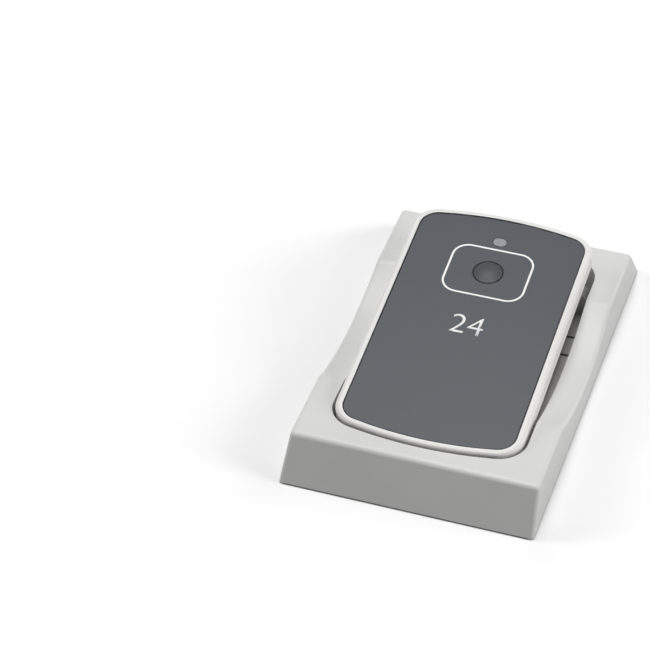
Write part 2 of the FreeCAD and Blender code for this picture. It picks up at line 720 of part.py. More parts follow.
def make_rear_case():
    body = unit_body("rear_case")
    outer = new_sketch(body, "ShellProfile", seam)
    unit_outline(outer, dim.seam_step)
    extrude("PartDesign::Pad", body, "Shell", outer, seam - back_face, True, -dim.rear_taper)
    round_edges(body, "BackRound", dim.back_round, lambda e: level_edge(e, back_face))
    inner = new_sketch(body, "CavityProfile", seam)
    unit_outline(inner, cavity_inset)
    extrude("PartDesign::Pocket", body, "Cavity", inner, seam - back_inside, False, -dim.rear_taper)

    def lip(sketch):
        unit_outline(sketch, lip_inset)
        unit_outline(sketch, cavity_inset)

    raise_shape(body, "Lip", seam, seam + dim.lip_height, lip)
    columns = at_each(case_screw_places(), lambda s, x, y: circle(s, x, y, dim.boss_diameter))
    raise_shape(body, "Columns", back_inside, boss_end, columns)
    over_head = dim.head_diameter + dim.head_clearance
    bores = at_each(case_screw_places(), lambda s, x, y: circle(s, x, y, over_head))
    cut_shape(body, "Bores", head_seat, back_face, bores)
    over_shank = dim.pilot_diameter + dim.shank_clearance
    holes = at_each(case_screw_places(), lambda s, x, y: circle(s, x, y, over_shank))
    cut_shape(body, "Holes", boss_end, head_seat, holes)

    lug_circle = dim.spigot_diameter + (dim.lug_reach + dim.lid_gap) * 2
    cup_outside = lug_circle + dim.cup_wall * 2
    raise_disc(body, "Cup", back_inside, cup_top, lid_centre(), cup_outside)
    cut_disc(body, "CellBore", cup_top, lug_top, lid_centre(), dim.cell_diameter + dim.cell_gap * 2)
    cut_disc(body, "LugBore", lug_top + dim.lid_play, back_inside, lid_centre(), lug_circle)
    cut_disc(body, "LidHole", back_inside, lid_shelf, lid_centre(), dim.spigot_diameter + dim.lid_gap * 2)
    cut_disc(body, "LidSeat", lid_shelf, back_face, lid_centre(), dim.lid_diameter + dim.lid_gap * 2)
    passage = lambda s: bar_in_circle(s, lug_circle, dim.lug_width + dim.lid_gap * 2)
    cut_shape(body, "LugPassage", back_inside, lid_shelf, passage, lid_centre(), dim.unlock_angle)
    front = dim.cell_diameter / 2 - dim.contact_window
    rear = cup_outside / 2 + dim.contact_window
    half = dim.contact_width / 2 + dim.contact_window
    window = lambda s: rectangle(s, -half, front, half, rear)
    cut_shape(body, "ContactWindow", cup_top, lug_top + dim.lid_play, window, lid_centre())


def make_battery_lid():
    body = unit_body("battery_lid")
    shelf = lid_shelf - dim.lid_play
    raise_disc(body, "Flange", back_face, shelf, lid_centre(), dim.lid_diameter)
    raise_disc(body, "Spigot", shelf, lug_top, lid_centre(), dim.spigot_diameter)
    lugs = lambda s: bar_in_circle(s, dim.spigot_diameter + dim.lug_reach * 2, dim.lug_width)
    raise_shape(body, "Lugs", lug_under, lug_top, lugs, lid_centre())
    coin_slot = lambda s: middle_rectangle(s, dim.coin_slot_length, dim.coin_slot_width)
    slot_top = back_face + dim.coin_slot_depth
    cut_shape(body, "CoinSlot", slot_top, back_face, coin_slot, lid_centre())

    def groove(sketch):
        middle = (dim.lid_diameter + dim.spigot_diameter) / 2
        circle(sketch, 0, 0, middle + dim.seal_section + dim.seal_gap * 2)
        circle(sketch, 0, 0, middle - dim.seal_section - dim.seal_gap * 2)

    cut_shape(body, "SealGroove", shelf, shelf - dim.seal_section - dim.seal_gap, groove, lid_centre())


def make_lid_seal():
    """An O-ring that lies in the groove of the lid's flange."""
    body = unit_body("lid_seal")
    level = lid_shelf - dim.lid_play - dim.seal_section / 2
    sketch = new_sketch(body, "RingProfile", -dim.cell_place, plane="XZ_Plane")
    circle(sketch, (dim.lid_diameter + dim.spigot_diameter) / 4, level, dim.seal_section)
    feature = body.newObject("PartDesign::Revolution", "Ring")
    feature.Profile = sketch
    feature.ReferenceAxis = (sketch, ["V_Axis"])
    feature.Angle = 360
    doc.recompute()


def make_coin_cell():
    body = unit_body("coin_cell")
    shoulder = cell_top - dim.cell_cap_height
    raise_disc(body, "Can", cell_under, shoulder, lid_centre(), dim.cell_diameter)
    raise_disc(body, "Cap", shoulder, cell_top, lid_centre(), dim.cell_cap_diameter)


def make_cell_contacts():
    body = unit_body("cell_contact_negative")
    strip_under = board_under - dim.contact_thickness
    width, length = dim.contact_width, dim.contact_length
    raise_block(body, "Strip", strip_under, board_under, lid_centre(), width, length)
    raise_disc(body, "Dimple", cell_top + dim.contact_play, strip_under, lid_centre(), dim.contact_dimple)

    body = unit_body("cell_contact_positive")
    touch = dim.cell_diameter / 2 + dim.contact_play
    half = dim.contact_width / 2
    sole = lambda s: rectangle(s, -half, touch, half, touch + dim.contact_foot)
    raise_shape(body, "Foot", strip_under, board_under, sole, lid_centre())
    blade = lambda s: rectangle(s, -half, touch, half, touch + dim.contact_thickness)
    raise_shape(body, "Blade", lug_top + dim.lid_play * 3, strip_under, blade, lid_centre())


# ---------------------------------------------------------------- call unit: board and what it carries


def make_circuit_board():
    body = unit_body("circuit_board")
    raise_shape(body, "Board", board_under, board_top, lambda s: unit_outline(s, dim.board_margin))
    over_boss = dim.boss_diameter + dim.boss_clearance * 2
    holes = at_each(case_screw_places(), lambda s, x, y: circle(s, x, y, over_boss))
    cut_shape(body, "BossHoles", board_top, board_under, holes)
    over_screw = dim.board_pilot + dim.shank_clearance
    small = at_each(board_post_places(), lambda s, x, y: circle(s, x, y, over_screw))
    cut_shape(body, "ScrewHoles", board_top, board_under, small)


def make_switch():
    base_top = cover_under
    cavity_floor = board_top + dim.switch_cavity_floor
    body = unit_body("switch_base")
    raise_block(body, "Base", board_top, base_top, key_centre(), dim.switch_side, dim.switch_side)
    cut_disc(body, "Cavity", base_top, cavity_floor, key_centre(), dim.switch_cavity_diameter)

    body = unit_body("switch_dome")
    raise_disc(body, "Disc", cavity_floor, cavity_floor + dim.dome_height, key_centre(), dim.dome_diameter)

    body = unit_body("switch_cover")
    raise_block(body, "Cover", cover_under, cover_top, key_centre(), dim.switch_side, dim.switch_side)
    over_plunger = dim.plunger_diameter + dim.plunger_gap * 2
    cut_disc(body, "Hole", cover_top, cover_under, key_centre(), over_plunger)

    body = unit_body("switch_plunger")
    foot_top = cover_under - dim.key_play
    foot_under = foot_top - dim.plunger_flange_height
    raise_disc(body, "Foot", foot_under, foot_top, key_centre(), dim.plunger_flange_diameter)
    raise_disc(body, "Stem", foot_top, plunger_top, key_centre(), dim.plunger_diameter)


def make_board_parts():
    body = unit_body("indicator_led")
    lamp_top = board_top + dim.led_height
    raise_block(body, "Lamp", board_top, lamp_top, lens_centre(), dim.led_width, dim.led_depth)

    body = unit_body("transmitter_can")
    can_centre = (dim.can_side_place, dim.can_place)
    can_under = board_under - dim.can_height
    raise_block(body, "Can", can_under, board_under, can_centre, dim.can_width, dim.can_length)
    round_edges(body, "CanRound", dim.leg_height, lambda e: level_edge(e, can_under))

    body = unit_body("crystal")
    crystal_centre = (dim.crystal_side_place, dim.crystal_place)
    outline = lambda s: slot(s, dim.crystal_width, dim.crystal_length)
    crystal_under = board_under - dim.crystal_height
    raise_shape(body, "Can", crystal_under, board_under, outline, crystal_centre)

    body = unit_body("reservoir_capacitor")
    capacitor_centre = (dim.capacitor_side_place, dim.capacitor_place)
    capacitor_under = board_under - dim.capacitor_height
    width, length = dim.capacitor_width, dim.capacitor_length
    raise_block(body, "Block", capacitor_under, board_under, capacitor_centre, width, length)

    body = unit_body("antenna_loop")
    half = dim.antenna_width / 2
    bar_top = board_top + dim.antenna_height
    strip_under = bar_top - dim.antenna_strip
    bar = lambda s: rectangle(s, -half, dim.antenna_length, half, dim.antenna_length + dim.antenna_strip)
    raise_shape(body, "Bar", strip_under, bar_top, bar, (0, antenna_place))
    arms = lambda s: [
        rectangle(s, -half, Size(0), dim.antenna_strip - half, dim.antenna_length),
        rectangle(s, half - dim.antenna_strip, Size(0), half, dim.antenna_length),
    ]
    raise_shape(body, "Arms", strip_under, bar_top, arms, (0, antenna_place))
    feet = lambda s: [
        rectangle(s, -half, Size(0), dim.antenna_strip - half, dim.antenna_strip),
        rectangle(s, half - dim.antenna_strip, Size(0), half, dim.antenna_strip),
    ]
    raise_shape(body, "Feet", board_top, strip_under, feet, (0, antenna_place))


LEG_COUNT = 7  # on each side of the microcontroller


def make_microcontroller():
    body = unit_body("microcontroller")
    centre = (dim.chip_side_place, dim.chip_place)
    chip_under = board_under - dim.chip_height
    raise_block(body, "Package", chip_under, board_under, centre, dim.chip_width, dim.chip_width)
    reach = dim.chip_width + dim.leg_length * 2
    for direction in ("across", "along"):

        def comb(sketch, direction=direction):
            for leg in range(LEG_COUNT):
                middle = dim.leg_pitch * (leg - (LEG_COUNT - 1) / 2)
                low = middle - dim.leg_width / 2
                high = middle + dim.leg_width / 2
                if direction == "across":
                    rectangle(sketch, -reach / 2, low, reach / 2, high)
                else:
                    rectangle(sketch, low, -reach / 2, high, reach / 2)

        raise_shape(body, "Legs" + direction, board_under - dim.leg_height, board_under, comb, centre)


PART_ROWS = 2
PART_COLUMNS = 5


def make_chip_parts():
    """Two rows of small resistors and capacitors, each its own solid."""
    body = unit_body("chip_parts")

    def all_parts(sketch):
        for row in range(PART_ROWS):
            for column in range(PART_COLUMNS):
                left = dim.small_part_side_place + dim.small_part_pitch * column
                low = dim.small_part_place + dim.small_part_pitch * row
                rectangle(sketch, left, low, left + dim.small_part_width, low + dim.small_part_length)

    raise_shape(body, "Parts", board_under - dim.small_part_height, board_under, all_parts)


# ---------------------------------------------------------------- call unit: screws


def cross_recess(body, name, bottom, top, places):
    """Two crossed slots in each head."""
    long, wide = dim.cross_length, dim.cross_width
    for turn, width, length in (("Across", long, wide), ("Along", wide, long)):

        def bars(sketch, width=width, length=length):
            for x, y in places:
                left, right = as_size(x) - width / 2, as_size(x) + width / 2
                rectangle(sketch, left, y - length / 2, right, y + length / 2)

        cut_shape(body, name + turn, top, bottom, bars)


def make_screws(label, places, head_under, head_level, wide, tip, shank):
    """Pan-head screws whose heads point to the back of the unit."""
    body = unit_body(label)
    heads = at_each(places, lambda s, x, y: circle(s, x, y, wide))
    raise_shape(body, "Heads", head_under, head_level, heads)
    shanks = at_each(places, lambda s, x, y: circle(s, x, y, shank))
    raise_shape(body, "Shanks", head_level, tip, shanks)
    cross_recess(body, "Cross", head_under, head_under + dim.cross_depth, places)


# ---------------------------------------------------------------- stand


def seat_level(distance):
    """Height of the unit's back face above the table, at a distance behind the stand's middle."""
    slope = (distance - dim.face_setback) * tangent(dim.seat_tilt)
    return dim.face_height + slope - (dim.unit_thickness + dim.seat_gap) / cosine(dim.seat_tilt)


def recess_outline(sketch, wall):
    """The outline of the stand's recess for the call unit, moved out by a wall."""
    gap = dim.recess_gap + wall
    half_length = dim.unit_length / 2 + dim.recess_end_gap + wall
    bowed_outline(sketch, side + gap, half_length, dim.end_radius + gap, dim.corner_radius + gap)


def stand_hull(body, inset):
    """The outer form of the stand, moved in by an inset: slanted ends, and sides with a slight draft."""
    foot_half = dim.stand_base_length / 2 - inset
    top_half = foot_half - dim.stand_end_slope
    wide = dim.stand_base_width / 2 - inset
    narrow = wide - dim.stand_side_draft
    low, top = dim.foot_proud, dim.stand_height
    ends = [(-foot_half, low), (foot_half, low), (top_half, top), (-top_half, top)]
    both_ways("PartDesign::Pad", body, "Hull", "YZ_Plane", wide * 2, lambda s: polygon(s, ends))

    def beyond_sides(sketch):
        polygon(sketch, [(wide, low), (wide, top), (narrow, top)])
        polygon(sketch, [(-wide, low), (-narrow, top), (-wide, top)])

    both_ways("PartDesign::Pocket", body, "SideDraft", "XZ_Plane", dim.stand_base_length, beyond_sides)


def dip_cut(body, inset):
    """The finger dips: a shallow cylinder across both cheeks, moved down by an inset."""
    half, depth = dim.dip_half_length, dim.dip_depth
    radius = (half * half + depth * depth) / (depth * 2)
    centre = dim.stand_height - dim.dip_depth + radius
    wide = radius + inset
    clear = dim.stand_height + dim.dip_depth

    def draw(sketch):
        reach = math.sqrt(float(wide) ** 2 - (float(centre) - float(dim.stand_height)) ** 2)
        lean = math.degrees(math.asin(reach / float(wide)))
        bowl = arc(sketch, (0, centre), wide, 270 - lean, 270 + lean)
        right = line(sketch, (reach, dim.stand_height), (reach, clear))
        over = line(sketch, (reach, clear), (-reach, clear))
        left = line(sketch, (-reach, clear), (-reach, dim.stand_height))
        join(sketch, [bowl, right, over, left])
        place_point(sketch, bowl, 3, 0, centre)
        dimension(sketch, "Radius", (bowl,), wide)
        dimension(sketch, "DistanceY", (-1, 1, bowl, 1), dim.stand_height)
        dimension(sketch, "DistanceY", (-1, 1, bowl, 2), dim.stand_height)
        for upright in (left, right):
            sketch.addConstraint(Sketcher.Constraint("Vertical", upright))
        sketch.addConstraint(Sketcher.Constraint("Horizontal", over))
        dimension(sketch, "DistanceY", (-1, 1, over, 1), clear)

    both_ways("PartDesign::Pocket", body, "Dips", "YZ_Plane", dim.stand_base_width * 2, draw)


def seat_block(body, name, front, depth, width):
    """A rib that stands on the tub's floor, with its top on the slope of the unit's back."""
    floor = dim.foot_proud + dim.tub_floor
    rear = front + depth
    outline = [(front, floor), (rear, floor), (rear, seat_level(rear)), (front, seat_level(front))]
    both_ways("PartDesign::Pad", body, name, "YZ_Plane", width, lambda s: polygon(s, outline))


def make_stand_core():
    """The hollow of the stand's underside: everything between the outer walls and the tub."""
    body = new_body("stand_core")
    stand_hull(body, dim.stand_wall)
    top = dim.stand_height - dim.stand_wall
    over = dim.stand_height + dim.stand_wall
    cut_block(body, "TopSkin", over, top, (0, 0), dim.stand_base_width * 2, dim.stand_base_length * 2)
    dip_cut(body, dim.stand_wall)
    cut_shape(body, "Tub", over, dim.foot_proud, lambda s: recess_outline(s, dim.tub_wall))
    return body


def on_end_top(edge):
    """True for the two long edges of the stand's top, at the front and the rear."""
    box = edge.BoundBox
    slack = 0.01
    return box.ZMin > float(dim.stand_height) - slack and box.XLength > float(dim.stand_base_width) / 2


def on_side_outline(edge):
    """True for the edges that bound the two sides, but not for those at the foot."""
    box = edge.BoundBox
    slack = 0.01
    narrow = box.XLength < float(dim.stand_end_round)
    return narrow and box.ZMax > float(dim.foot_proud) + slack


def rib_ends_cut(body):
    """The slopes of the support rib's ends, from the unit's back down to the recess's sides."""
    wall = side + dim.recess_gap
    start = wall - dim.rib_end_length
    level = seat_level(rib_place + dim.rib_width)
    low = level - dim.rib_end_drop

    def draw(sketch):
        polygon(sketch, [(start, level), (wall, low), (wall, level)])
        polygon(sketch, [(-start, level), (-wall, level), (-wall, low)])

    both_ways("PartDesign::Pocket", body, "RibEnds", "XZ_Plane", (rib_place + dim.rib_width) * 2, draw)


def make_stand_shell():
    body = new_body("stand_solid")
    stand_hull(body, Size(0))
    round_edges(body, "EndRound", dim.stand_end_round, on_end_top)
    dip_cut(body, Size(0))
    round_edges(body, "EdgeRound", dim.stand_edge_round, on_side_outline)
    floor = dim.foot_proud + dim.tub_floor
    over = dim.stand_height + dim.recess_gap
    cut_shape(body, "Recess", over, floor, lambda s: recess_outline(s, Size(0)))
    seat_block(body, "Rib", rib_place, dim.rib_width, (side + dim.recess_gap) * 2)
    seat_block(body, "Ledge", ledge_place, dim.ledge_width, (side - dim.ledge_side_inset) * 2)
    rib_ends_cut(body)
    core_top = seat_level(rib_place) - dim.rib_core_wall
    core_centre = (0, rib_place + dim.rib_width / 2)
    core_width = (side + dim.recess_gap - dim.rib_end_length - dim.rib_core_wall) * 2
    core_length = dim.rib_width - dim.rib_core_wall * 2
    cut_block(body, "RibCore", core_top, dim.foot_proud, core_centre, core_width, core_length)
    for way, name in ((-1, "Left"), (1, "Right")):
        wall = (side + dim.recess_gap) * way
        tip = wall - dim.tongue_length * way
        slit = tip - dim.tongue_slot * way
        for end, which in ((-1, "Front"), (1, "Rear")):
            edge = tongue_place + dim.tongue_width / 2 * end
            beyond = edge + dim.tongue_slot * end
            cut_span(body, "Tongue" + which + name, floor, dim.foot_proud, (slit, wall), (edge, beyond))
        tip_span = (tongue_place - dim.tongue_width / 2, tongue_place + dim.tongue_width / 2)
        cut_span(body, "TongueTip" + name, floor, dim.foot_proud, (slit, tip), tip_span)
        inner = (side - dim.window_side_inset) * way
        outer = inner + dim.window_width * way
        window_span = (window_place, window_place + dim.window_length)
        cut_span(body, "Window" + name, floor, dim.foot_proud, (inner, outer), window_span)
    seats = at_each(foot_places(), lambda s, x, y: circle(s, x, y, dim.foot_diameter + dim.foot_gap * 2))
    cut_shape(body, "FootSeats", dim.foot_height, dim.foot_proud, seats)

    shell = doc.addObject("Part::Cut", "stand_shell")
    shell.Label = "stand_shell"
    shell.Base = body
    shell.Tool = make_stand_core()
    doc.recompute()
    return shell


def foot_places():
    front_side = side - dim.front_foot_side_inset
    rear_side = side - dim.rear_foot_side_inset
    fronts = [(x, front_foot_place) for x in (-front_side, front_side)]
    rears = [(x, rear_foot_place) for x in (-rear_side, rear_side)]
    return fronts + rears


def make_feet():
    labels = ("foot_front_left", "foot_front_right", "foot_rear_left", "foot_rear_right")
    for label, place in zip(labels, foot_places()):
        body = new_body(label)
        raise_disc(body, "Pad", Size(0), dim.foot_height, place, dim.foot_diameter)


# ---------------------------------------------------------------- building, checking and writing

make_front_case()
make_face_sheet()
make_face_tape()
make_call_key()
make_indicator_lens()
make_rear_case()
make_battery_lid()
make_lid_seal()
make_coin_cell()
make_cell_contacts()
make_circuit_board()
make_switch()
make_board_parts()
make_microcontroller()
make_chip_parts()
make_screws(
    "case_screws",
    case_screw_places(),
    head_seat - dim.head_height,
    head_seat,
    dim.head_diameter,
    boss_end + dim.screw_grip - dim.thread_gap,
    dim.pilot_diameter - dim.thread_gap * 2,
)
make_screws(
    "board_screws",
    board_post_places(),
    board_under - dim.board_head_height,
    board_under,
    dim.board_head_diameter,
    board_top + dim.board_screw_grip - dim.thread_gap,
    dim.board_pilot - dim.thread_gap * 2,
)
make_stand_shell()
make_feet()
doc.recompute()

CUTS = ("PartDesign::Pocket", "PartDesign::Groove")
HELPERS = ("stand_solid", "stand_core")


def cuts_something(feature):
    before, after = feature.BaseFeature.Shape, feature.Shape
    return not after.isNull() and after.Volume < before.Volume - 1e-6


faults = []
for item in doc.Objects:
    if "Invalid" in item.State or "Error" in item.State:
        faults.append(f"{item.Label}: {item.State}")
    if item.TypeId in CUTS and not cuts_something(item):
        faults.append(f"{item.Label}: cuts nothing")

bodies = [item for item in doc.Objects if item.TypeId == "PartDesign::Body"]
pieces = [item for item in bodies if item.Label not in HELPERS] + [doc.getObject("stand_shell")]
for piece in pieces:
    if piece.Shape.isNull() or not piece.Shape.isValid() or not piece.Shape.Solids:
        faults.append(f"{piece.Label}: no valid solid")
if faults:
    raise RuntimeError("\n".join(faults))

os.makedirs("parts", exist_ok=True)
for piece in pieces:
    piece.Shape.exportStep(f"parts/{piece.Label}.step")
    box = piece.Shape.BoundBox
    count, volume = len(piece.Shape.Solids), piece.Shape.Volume
    print(f"{piece.Label}: {count} solid(s), {volume:.1f} mm3, top {box.ZMax:.2f}")
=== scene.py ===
import json
import math

import bpy
from mathutils import Matrix, Vector

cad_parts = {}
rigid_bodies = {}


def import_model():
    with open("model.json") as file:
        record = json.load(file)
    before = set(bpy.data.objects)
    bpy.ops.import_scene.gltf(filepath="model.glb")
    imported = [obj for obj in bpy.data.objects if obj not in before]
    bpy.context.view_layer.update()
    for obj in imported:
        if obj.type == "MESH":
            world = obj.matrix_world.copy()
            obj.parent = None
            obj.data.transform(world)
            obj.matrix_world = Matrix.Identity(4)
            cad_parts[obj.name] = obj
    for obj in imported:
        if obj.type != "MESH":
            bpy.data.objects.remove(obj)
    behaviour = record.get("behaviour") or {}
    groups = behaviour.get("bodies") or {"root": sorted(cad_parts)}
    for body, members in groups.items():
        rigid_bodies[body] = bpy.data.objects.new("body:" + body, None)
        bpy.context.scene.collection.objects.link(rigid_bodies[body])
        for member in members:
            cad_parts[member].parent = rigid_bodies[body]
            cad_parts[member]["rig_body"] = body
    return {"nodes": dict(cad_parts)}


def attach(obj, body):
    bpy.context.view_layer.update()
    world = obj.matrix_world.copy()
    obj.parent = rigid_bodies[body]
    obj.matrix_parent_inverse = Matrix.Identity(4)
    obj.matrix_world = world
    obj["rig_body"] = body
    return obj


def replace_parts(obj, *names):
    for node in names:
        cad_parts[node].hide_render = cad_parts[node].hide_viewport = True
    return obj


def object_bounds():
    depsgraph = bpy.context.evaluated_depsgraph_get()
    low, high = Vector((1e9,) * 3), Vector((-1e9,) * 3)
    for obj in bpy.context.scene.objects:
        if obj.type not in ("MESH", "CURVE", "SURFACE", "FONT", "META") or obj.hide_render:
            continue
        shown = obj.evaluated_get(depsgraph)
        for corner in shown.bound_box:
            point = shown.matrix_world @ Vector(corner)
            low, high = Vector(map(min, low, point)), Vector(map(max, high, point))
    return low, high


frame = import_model()
cad_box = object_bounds()

MM = 0.001

# The call unit lies in its stand at this tilt. UNIT_PLACE carries the unit's own flat frame,
# which has its zero at the middle of the rim, into the frame of the whole object.
UNIT_TILT = math.radians(7.0)
UNIT_MIDDLE = Vector((0.0, -1.2, 20.4)) * MM
UNIT_PLACE = Matrix.Translation(UNIT_MIDDLE) @ Matrix.Rotation(UNIT_TILT, 4, "X")

# The sheet of the face lies this far below the rim. A printed layer, and the painted shade line at the
# sheet's edge, stands a little above the sheet and reaches a little into it, so that no gap shows
# between them.
SHEET_TOP = -0.25 * MM
LAYER_THICKNESS = 0.03 * MM
LAYER_SINK = 0.02 * MM

# The white outline printed round the key
OUTLINE_MIDDLE = Vector((0.0, 24.3)) * MM
OUTLINE_WIDTH = 27.2 * MM
OUTLINE_LENGTH = 21.6 * MM
OUTLINE_CORNER = 5.4 * MM
OUTLINE_CORNER_SEGMENTS = 14
OUTLINE_STROKE = 0.66 * MM

# A dark line of painted shade along the cut edge of the sheet, for the gap at the rim. The field that
# holds the key and the window, as wide and as far from the middle as this, has no such line round its
# holes.
EDGE_STROKE = 0.26 * MM
EDGE_CLEAR_WIDTH = 20 * MM
EDGE_CLEAR_FROM = 44 * MM

# The table number. Its strokes are thinned on each side, and its curves have this many steps.
NUMBER_TEXT = "24"
NUMBER_MIDDLE = Vector((0.0, 0.2)) * MM
NUMBER_SIZE = 11.5 * MM
NUMBER_THINNING = 0.12 * MM
NUMBER_CURVE_STEPS = 8
NUMBER_MERGE_WITHIN = 0.001 * MM

# A copied shape has its triangles merged into flat faces, the edges sharper than SHARP_FROM broken,
# and its faces shaded smooth across edges that turn by less than SMOOTH_BELOW.
MERGE_WITHIN = 0.0005 * MM
SLIVER_UNDER = 0.002 * MM
FLAT_WITHIN = math.radians(0.1)
SHARP_FROM = math.radians(30)
SMOOTH_BELOW = math.radians(32)
BEVEL_SEGMENTS = 2
FACES_UP_FROM = 0.99

# Sockets of the node that mixes colours. Its sockets share their names, so they go by number.
MIX_SHARE = 0
MIX_FIRST = 6
MIX_SECOND = 7
MIX_RESULT = 2


def from_srgb(red, green, blue):
    """A colour given as eight-bit screen values, as the shader wants it."""
    parts = []
    for value in (red, green, blue):
        share = value / 255
        parts.append(share / 12.92 if share <= 0.04045 else ((share + 0.055) / 1.055) ** 2.4)
    return (*parts, 1.0)


# ---------------------------------------------------------------- materials


class Finish:
    """One material with its nodes, so that each finish below reads as a short recipe."""

    def __init__(self, name):
        self.material = bpy.data.materials.new(name)
        self.material.use_nodes = True
        self.tree = self.material.node_tree
        self.shader = self.tree.nodes["Principled BSDF"]
        self.place = self.add("ShaderNodeTexCoord").outputs["Object"]

    def add(self, kind, inputs=None, **settings):
        """A node with its settings and inputs, where an input is a value or another node's output."""
        node = self.tree.nodes.new(kind)
        for key, value in settings.items():
            setattr(node, key, value)
        for key, value in (inputs or {}).items():
            self.feed(node, key, value)
        return node

    def feed(self, node, key, value):
        """Links an output to a node's input, or sets the input to a plain value."""
        if isinstance(value, bpy.types.NodeSocket):
            self.tree.links.new(value, node.inputs[key])
        else:
            node.inputs[key].default_value = value

    def surface(self, **inputs):
        """Values and outputs for the shader's own sockets."""
        for key, value in inputs.items():
            self.feed(self.shader, key.replace("_", " "), value)

    def noise(self, size, detail=2.0, roughness=0.5, place=None):
        """Noise whose lumps are about as wide as size."""
        inputs = {"Scale": 1 / size, "Detail": detail, "Roughness": roughness}
        inputs["Vector"] = self.place if place is None else place
        return self.add("ShaderNodeTexNoise", inputs).outputs["Fac"]

    def span(self, value, low, high, start=0.0, end=1.0):
        """Maps the part of a value between low and high onto start to end."""
        inputs = {"Value": value, "From Min": low, "From Max": high, "To Min": start, "To Max": end}
        return self.add("ShaderNodeMapRange", inputs).outputs["Result"]

    def blend(self, share, first, second):
        """One colour going over into another by share."""
        node = self.add("ShaderNodeMix", data_type="RGBA")
        for socket, value in ((MIX_SHARE, share), (MIX_FIRST, first), (MIX_SECOND, second)):
            self.feed(node, socket, value)
        return node.outputs[MIX_RESULT]

    def math(self, operation, first, second=0.0):
        """One step of arithmetic on two values or outputs."""
        node = self.add("ShaderNodeMath", operation=operation)
        self.feed(node, 0, first)
        self.feed(node, 1, second)
        return node.outputs[0]

    def bump(self, height, depth):
        """Raises the surface by height times depth."""
        inputs = {"Height": height, "Distance": depth, "Strength": 1.0}
        return self.add("ShaderNodeBump", inputs).outputs["Normal"]

    def edge_share(self, radius, low=0.02, high=0.25):
        """1 along the outer edges and corners of a piece, 0 on its flats."""
        rounded = self.add("ShaderNodeBevel", {"Radius": radius}, samples=4).outputs["Normal"]
        flat = self.add("ShaderNodeNewGeometry").outputs["Normal"]
        facing = self.add("ShaderNodeVectorMath", operation="DOT_PRODUCT")
        self.feed(facing, 0, rounded)
        self.feed(facing, 1, flat)
        return self.span(self.math("SUBTRACT", 1.0, facing.outputs["Value"]), low, high)

    def crevice_shade_share(self, reach):
        """1 deep in slots and narrow gaps of the piece itself, 0 on open faces: where shade is painted.
        """
        open_share = self.add(
            "ShaderNodeAmbientOcclusion", {"Distance": reach}, samples=8, only_local=True
        ).outputs["AO"]
        return self.span(open_share, 0.14, 0.54, 1.0, 0.0)


def moulded_plastic(name, colour, shade, rub_and_highlight, dust_and_shade, reach, roughness, grain, depth):
    """Moulded plastic with a spark-eroded grain of this size and depth, and faint flow clouds.

    The clouds go from shade to colour. The edges are glossier from handling and take the light edge
    tint, partly wear and partly painted highlight. Slots up to reach wide take the dark slot tint,
    partly dust and partly painted shade.
    """
    finish = Finish(name)
    grains = finish.noise(grain, detail=3.0, roughness=0.6)
    clouds = finish.noise(28 * MM, detail=3.0)
    specks = finish.noise(1.6 * MM, detail=4.0, roughness=0.65)
    edges = finish.edge_share(0.35 * MM)
    body = finish.blend(finish.span(clouds, 0.35, 0.65), from_srgb(*shade), from_srgb(*colour))
    # Edges are lightened here: painted highlight, partly wear.
    wear_and_highlight = finish.math("MULTIPLY", edges, finish.span(specks, 0.4, 0.6, 0.25, 0.8))
    clean = finish.blend(wear_and_highlight, body, from_srgb(*rub_and_highlight))
    matt = finish.math("ADD", specks, finish.math("MULTIPLY", edges, -0.6))
    finish.surface(
        # Slots and gaps are darkened here: painted shade, partly dust.
        Base_Color=finish.blend(finish.crevice_shade_share(reach), clean, from_srgb(*dust_and_shade)),
        Roughness=finish.span(matt, 0.0, 1.0, roughness - 0.08, roughness + 0.08),
        Normal=finish.bump(grains, depth),
        IOR=1.5,
    )
    return finish.material


def plain_metal(name, colour, stain, roughness):
    """Rolled or drawn metal: fine lines along one way, and a faint cloudy stain."""
    finish = Finish(name)
    line_width, line_length = 0.08 * MM, 2.5 * MM
    stretch = finish.add(
        "ShaderNodeMapping",
        {"Vector": finish.place, "Scale": (1 / line_width, 1 / line_length, 1 / line_width)},
    ).outputs["Vector"]
    lines = finish.noise(1.0, detail=3.0, roughness=0.6, place=stretch)
    clouds = finish.noise(2.5 * MM, detail=4.0, roughness=0.6)
    finish.surface(
        Base_Color=finish.blend(
            finish.span(clouds, 0.4, 0.7, 0.0, 0.7), from_srgb(*colour), from_srgb(*stain)
        ),
        Metallic=1.0,
        Roughness=finish.span(lines, 0.3, 0.7, roughness - 0.08, roughness + 0.1),
        Normal=finish.bump(lines, 0.004 * MM),
    )
    return finish.material


def rubber(name, colour, dust, roughness):
    """Moulded rubber with a fine tooth and a little dust on it."""
    finish = Finish(name)
    tooth = finish.noise(0.12 * MM, detail=3.0, roughness=0.7)
    patches = finish.noise(3 * MM, detail=4.0, roughness=0.6)
    finish.surface(
        Base_Color=finish.blend(
            finish.span(patches, 0.45, 0.75, 0.0, 0.6), from_srgb(*colour), from_srgb(*dust)
        ),
        Roughness=finish.span(patches, 0.3, 0.7, roughness - 0.08, roughness + 0.06),
        Normal=finish.bump(tooth, 0.02 * MM),
        Specular_IOR_Level=0.3,
    )
    return finish.material


